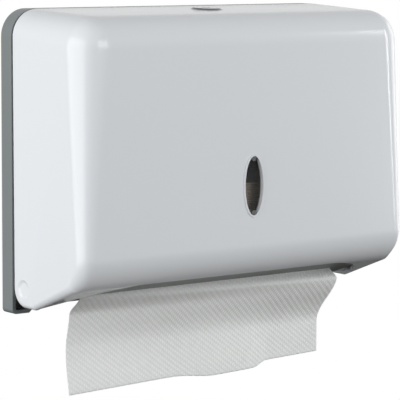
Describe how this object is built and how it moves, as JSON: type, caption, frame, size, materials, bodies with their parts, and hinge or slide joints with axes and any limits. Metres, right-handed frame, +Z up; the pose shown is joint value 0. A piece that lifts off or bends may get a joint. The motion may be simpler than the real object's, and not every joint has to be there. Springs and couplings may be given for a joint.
{
  "type": "multifold towel dispenser",
  "caption": "Wall dispenser for multifold paper towels: white cover hinged at the bottom and locked at the top, sight window, grey back plate and tray with a towel hanging from the slot.",
  "frame": {"origin": "centre of the back plate's flat wall face", "axes": "+X to the right seen from the front, the front faces -Y with the wall at Y = 0, +Z up"},
  "size_m": [0.27, 0.0943, 0.2517],
  "materials": {
    "grey_plastic": "matt moulded",
    "tray_plastic": "matt moulded",
    "screw_steel": "zinc plated",
    "paper_stack": "folded paper",
    "paper": "embossed paper",
    "white_plastic": "fine satin",
    "smoked_lens": "smoked clear plastic",
    "lock_metal": "plated"
  },
  "bodies": {
    "base": {"back_plate": "grey_plastic", "towel_tray": "tray_plastic", "tray_screws": "screw_steel", "lock_keeper": "screw_steel", "keeper_pin": "screw_steel", "keeper_screws": "screw_steel", "towel_stack": "paper_stack"},
    "cover": {"front_cover": "white_plastic", "window_lens": "smoked_lens", "window_retainer": "white_plastic", "retainer_screws": "screw_steel", "lock_barrel": "lock_metal", "lock_washer": "screw_steel", "lock_nut": "screw_steel", "left_hinge_pin": "white_plastic", "right_hinge_pin": "white_plastic", "left_hinge_clip": "screw_steel", "right_hinge_clip": "screw_steel"},
    "lock": {"lock_plug": "lock_metal", "lock_cam": "screw_steel", "cam_screw": "screw_steel"},
    "towel": {"hanging_towel": "paper"}
  },
  "joints": [
    {"name": "cover_hinge", "type": "hinge", "parent": "base", "child": "cover", "pos_m": [0, -0.0248, -0.081], "axis": [1, 0, 0], "range_deg": [0, 85], "deforming": ["hanging_towel"]},
    {"name": "lock_turn", "type": "hinge", "parent": "cover", "child": "lock", "pos_m": [0, -0.042, 0.09767], "axis": [0, -0.0454, 0.999], "range_deg": [-90, 0]},
    {"name": "towel_pull", "type": "slide", "parent": "base", "child": "towel", "axis": [0, 0, -1], "range_m": [0, 0.03]}
  ]
}
